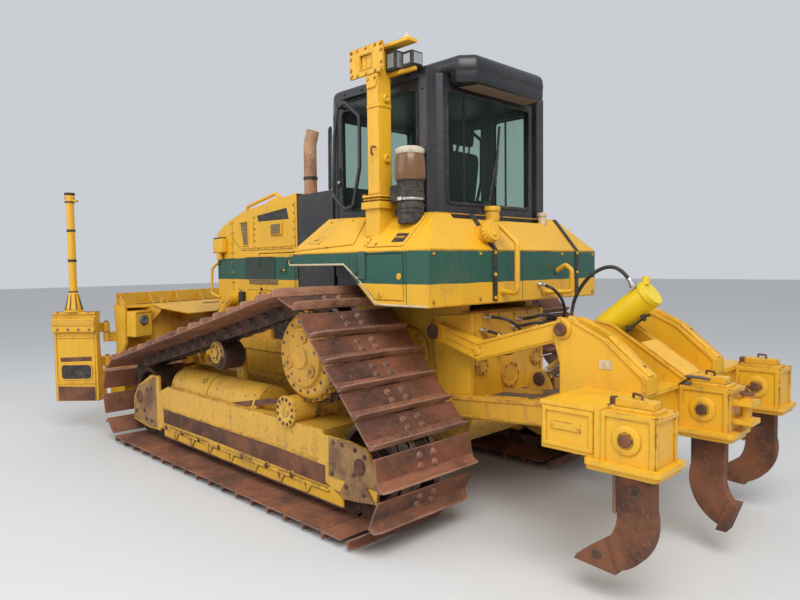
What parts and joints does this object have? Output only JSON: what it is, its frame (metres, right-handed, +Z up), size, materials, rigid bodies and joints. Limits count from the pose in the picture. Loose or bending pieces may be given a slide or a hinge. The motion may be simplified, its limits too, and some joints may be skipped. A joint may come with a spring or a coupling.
{
  "type": "bulldozer",
  "caption": "Crawler bulldozer with wide track shoes, an angling and tilting blade with folding ends, an enclosed cab and a rear ripper.",
  "frame": {"origin": "middle of the whole machine's footprint, on the ground under the tracks", "axes": "+X forward to the blade, +Y to the machine's left, +Z up"},
  "size_m": [7.3362, 3.2822, 3.21],
  "materials": {
    "yellow_paint": "satin paint, worn at edges",
    "ram_yellow": "fresh gloss paint",
    "track_steel": "rusted, bright at the grousers",
    "shank_steel": "rusted",
    "roller_steel": "worn",
    "charcoal_paint": "satin",
    "cab_plastic": "moulded",
    "glass_green": "clear, green tint",
    "seat_fabric": "woven",
    "rod_chrome": "polished",
    "engine_black": "painted",
    "exhaust_steel": "heat-rusted",
    "bowl_plastic": "smoked"
  },
  "bodies": {
    "tractor": {"track_left": "track_steel", "track_right": "track_steel", "rollers_left": "roller_steel", "rollers_right": "roller_steel", "track_frame_left": "yellow_paint", "track_frame_right": "yellow_paint", "final_drive_left": "yellow_paint", "final_drive_right": "yellow_paint", "main_frame": "yellow_paint", "hood": "yellow_paint", "engine_block": "engine_black", "radiator_guard": "yellow_paint", "grille": "yellow_paint", "cowl": "charcoal_paint", "fender_left": "yellow_paint", "fender_right": "yellow_paint", "fuel_tank": "yellow_paint", "cab_shell": "charcoal_paint", "cab_glass": "glass_green", "cab_roof": "cab_plastic", "seat": "seat_fabric", "exhaust": "exhaust_steel", "air_bowl": "bowl_plastic", "equipment_post": "yellow_paint", "hood_rails": "yellow_paint", "ripper_bracket": "yellow_paint"},
    "blade_frame": {"push_frame": "yellow_paint"},
    "blade_swivel": {"blade_carrier": "yellow_paint"},
    "blade": {"blade_centre": "yellow_paint"},
    "wing_left": {"wing_left": "yellow_paint", "mast_left": "yellow_paint"},
    "lift_cylinder_left": {"lift_barrel_left": "yellow_paint"},
    "lift_ram_left": {"lift_rod_left": "rod_chrome"},
    "angle_cylinder_left": {"angle_barrel_left": "yellow_paint"},
    "angle_ram_left": {"angle_rod_left": "rod_chrome"},
    "cab_door_left": {"cab_door_left": "charcoal_paint", "door_glass_left": "glass_green"},
    "engine_door_left": {"engine_door_left": "yellow_paint"},
    "box_door_left": {"box_door_left": "yellow_paint"},
    "wing_right": {"wing_right": "yellow_paint", "mast_right": "yellow_paint"},
    "lift_cylinder_right": {"lift_barrel_right": "yellow_paint"},
    "lift_ram_right": {"lift_rod_right": "rod_chrome"},
    "angle_cylinder_right": {"angle_barrel_right": "yellow_paint"},
    "angle_ram_right": {"angle_rod_right": "rod_chrome"},
    "cab_door_right": {"cab_door_right": "charcoal_paint", "door_glass_right": "glass_green"},
    "engine_door_right": {"engine_door_right": "yellow_paint"},
    "box_door_right": {"box_door_right": "yellow_paint"},
    "tilt_cylinder": {"tilt_barrel": "yellow_paint"},
    "tilt_ram": {"tilt_rod": "rod_chrome"},
    "ripper_link": {"ripper_lower_link": "yellow_paint"},
    "ripper_upper": {"ripper_upper_links": "yellow_paint"},
    "ripper": {"ripper_beam": "yellow_paint", "ripper_shanks": "shank_steel"},
    "ripper_cylinder": {"ripper_barrel": "ram_yellow"},
    "ripper_ram": {"ripper_rod": "rod_chrome"}
  },
  "joints": [
    {"name": "blade_lift", "type": "hinge", "parent": "tractor", "child": "blade_frame", "pos_m": [-0.28809, -0.14107, 0.62], "axis": [0, -1, 0], "range_deg": [-13, 8]},
    {"name": "lift_cylinder_left_swing", "type": "hinge", "parent": "tractor", "child": "lift_cylinder_left", "pos_m": [0.96191, 0.42893, 1.395], "axis": [0, -1, 0], "range_deg": [-18.02, 11.28]},
    {"name": "lift_ram_left_slide", "type": "slide", "parent": "lift_cylinder_left", "child": "lift_ram_left", "axis": [0.7566, 0, -0.6539], "range_m": [-0.2009, 0.3252]},
    {"name": "lift_cylinder_right_swing", "type": "hinge", "parent": "tractor", "child": "lift_cylinder_right", "pos_m": [0.96191, -0.71107, 1.395], "axis": [0, -1, 0], "range_deg": [-18.02, 11.28]},
    {"name": "lift_ram_right_slide", "type": "slide", "parent": "lift_cylinder_right", "child": "lift_ram_right", "axis": [0.7566, 0, -0.6539], "range_m": [-0.2009, 0.3252]},
    {"name": "blade_angle", "type": "hinge", "parent": "blade_frame", "child": "blade_swivel", "pos_m": [2.50191, -0.14107, 0.7], "axis": [0, 0, 1], "range_deg": [-40, 0]},
    {"name": "angle_cylinder_left_swing", "type": "hinge", "parent": "blade_frame", "child": "angle_cylinder_left", "pos_m": [1.36191, 0.18893, 0.76], "axis": [0, 0, 1], "range_deg": [-0.5, 2.74]},
    {"name": "angle_ram_left_slide", "type": "slide", "parent": "angle_cylinder_left", "child": "angle_ram_left", "axis": [0.9832, 0.1826, 0], "range_m": [-0.002, 0.3941]},
    {"name": "angle_cylinder_right_swing", "type": "hinge", "parent": "blade_frame", "child": "angle_cylinder_right", "pos_m": [1.36191, -0.47107, 0.76], "axis": [0, 0, 1], "range_deg": [-1.88, 0.5]},
    {"name": "angle_ram_right_slide", "type": "slide", "parent": "angle_cylinder_right", "child": "angle_ram_right", "axis": [0.9816, -0.1911, 0], "range_m": [-0.3947, 0.002]},
    {"name": "blade_tilt", "type": "hinge", "parent": "blade_swivel", "child": "blade", "pos_m": [2.50191, -0.14107, 0.7], "axis": [0.9397, 0.342, 0], "range_deg": [-6, 6]},
    {"name": "tilt_cylinder_swing", "type": "hinge", "parent": "blade_swivel", "child": "tilt_cylinder", "pos_m": [2.45924, -0.31623, 0.985], "axis": [0.9397, 0.342, 0], "range_deg": [-5.07, 5.07]},
    {"name": "tilt_ram_slide", "type": "slide", "parent": "tilt_cylinder", "child": "tilt_ram", "axis": [-0.342, 0.9397, 0], "range_m": [-0.0318, 0.0318]},
    {"name": "wing_left_fold", "type": "hinge", "parent": "blade", "child": "wing_left", "pos_m": [2.35355, 1.14367, 0.8], "axis": [0, 0, 1], "range_deg": [0, 65.7]},
    {"name": "wing_right_fold", "type": "hinge", "parent": "blade", "child": "wing_right", "pos_m": [3.21408, -1.2206, 0.8], "axis": [0, 0, -1], "range_deg": [0, 65.7]},
    {"name": "cab_door_left_hinge", "type": "hinge", "parent": "tractor", "child": "cab_door_left", "pos_m": [-1.29709, 0.52093, 2.5], "axis": [0, 0, 1], "range_deg": [0, 80]},
    {"name": "engine_door_left_hinge", "type": "hinge", "parent": "tractor", "child": "engine_door_left", "pos_m": [0.55591, 0.36993, 1.6], "axis": [0, 0, -1], "range_deg": [0, 100]},
    {"name": "box_door_left_hinge", "type": "hinge", "parent": "tractor", "child": "box_door_left", "pos_m": [-1.45409, 0.87093, 1.65], "axis": [0, 0, -1], "range_deg": [0, 90]},
    {"name": "cab_door_right_hinge", "type": "hinge", "parent": "tractor", "child": "cab_door_right", "pos_m": [-1.29709, -0.80307, 2.5], "axis": [0, 0, -1], "range_deg": [0, 80]},
    {"name": "engine_door_right_hinge", "type": "hinge", "parent": "tractor", "child": "engine_door_right", "pos_m": [0.55591, -0.65207, 1.6], "axis": [0, 0, 1], "range_deg": [0, 100]},
    {"name": "box_door_right_hinge", "type": "hinge", "parent": "tractor", "child": "box_door_right", "pos_m": [-1.45409, -1.15307, 1.65], "axis": [0, 0, 1], "range_deg": [0, 90]},
    {"name": "ripper_lift", "type": "hinge", "parent": "tractor", "child": "ripper_link", "pos_m": [-1.81309, -0.14107, 0.72], "axis": [0, 1, 0], "range_deg": [-29.5, 10]},
    {"name": "ripper_upper_swing", "type": "hinge", "parent": "tractor", "child": "ripper_upper", "pos_m": [-1.73809, -0.14107, 1.24], "axis": [0, 1, 0], "range_deg": [-29.5, 10]},
    {"name": "ripper_beam_level", "type": "hinge", "parent": "ripper_link", "child": "ripper", "pos_m": [-2.85809, -0.14107, 0.804], "axis": [0, 1, 0], "range_deg": [-10, 29.5]},
    {"name": "ripper_cylinder_swing", "type": "hinge", "parent": "ripper", "child": "ripper_cylinder", "pos_m": [-2.73809, -0.14107, 1.268], "axis": [0, 1, 0], "range_deg": [-22.35, 7.91]},
    {"name": "ripper_ram_slide", "type": "slide", "parent": "ripper_cylinder", "child": "ripper_ram", "axis": [0.783, 0, -0.622], "range_m": [-0.2376, 0.0819]}
  ],
  "couplings": [
    {"joint": "lift_cylinder_left_swing", "follows": "blade_lift", "ratio": 1.3479},
    {"joint": "lift_ram_left_slide", "follows": "blade_lift", "m_per_rad": -1.4246},
    {"joint": "lift_cylinder_right_swing", "follows": "blade_lift", "ratio": 1.3479},
    {"joint": "lift_ram_right_slide", "follows": "blade_lift", "m_per_rad": -1.4246},
    {"joint": "angle_cylinder_left_swing", "follows": "blade_angle", "ratio": -0.055895},
    {"joint": "angle_ram_left_slide", "follows": "blade_angle", "m_per_rad": -0.56166},
    {"joint": "angle_cylinder_right_swing", "follows": "blade_angle", "ratio": 0.034409},
    {"joint": "angle_ram_right_slide", "follows": "blade_angle", "m_per_rad": 0.56252},
    {"joint": "tilt_cylinder_swing", "follows": "blade_tilt", "ratio": 0.76241},
    {"joint": "tilt_ram_slide", "follows": "blade_tilt", "m_per_rad": -0.28484},
    {"joint": "ripper_upper_swing", "follows": "ripper_lift", "ratio": 1},
    {"joint": "ripper_beam_level", "follows": "ripper_lift", "ratio": -1},
    {"joint": "ripper_cylinder_swing", "follows": "ripper_lift", "ratio": 0.74066},
    {"joint": "ripper_ram_slide", "follows": "ripper_lift", "m_per_rad": 0.45764}
  ]
}
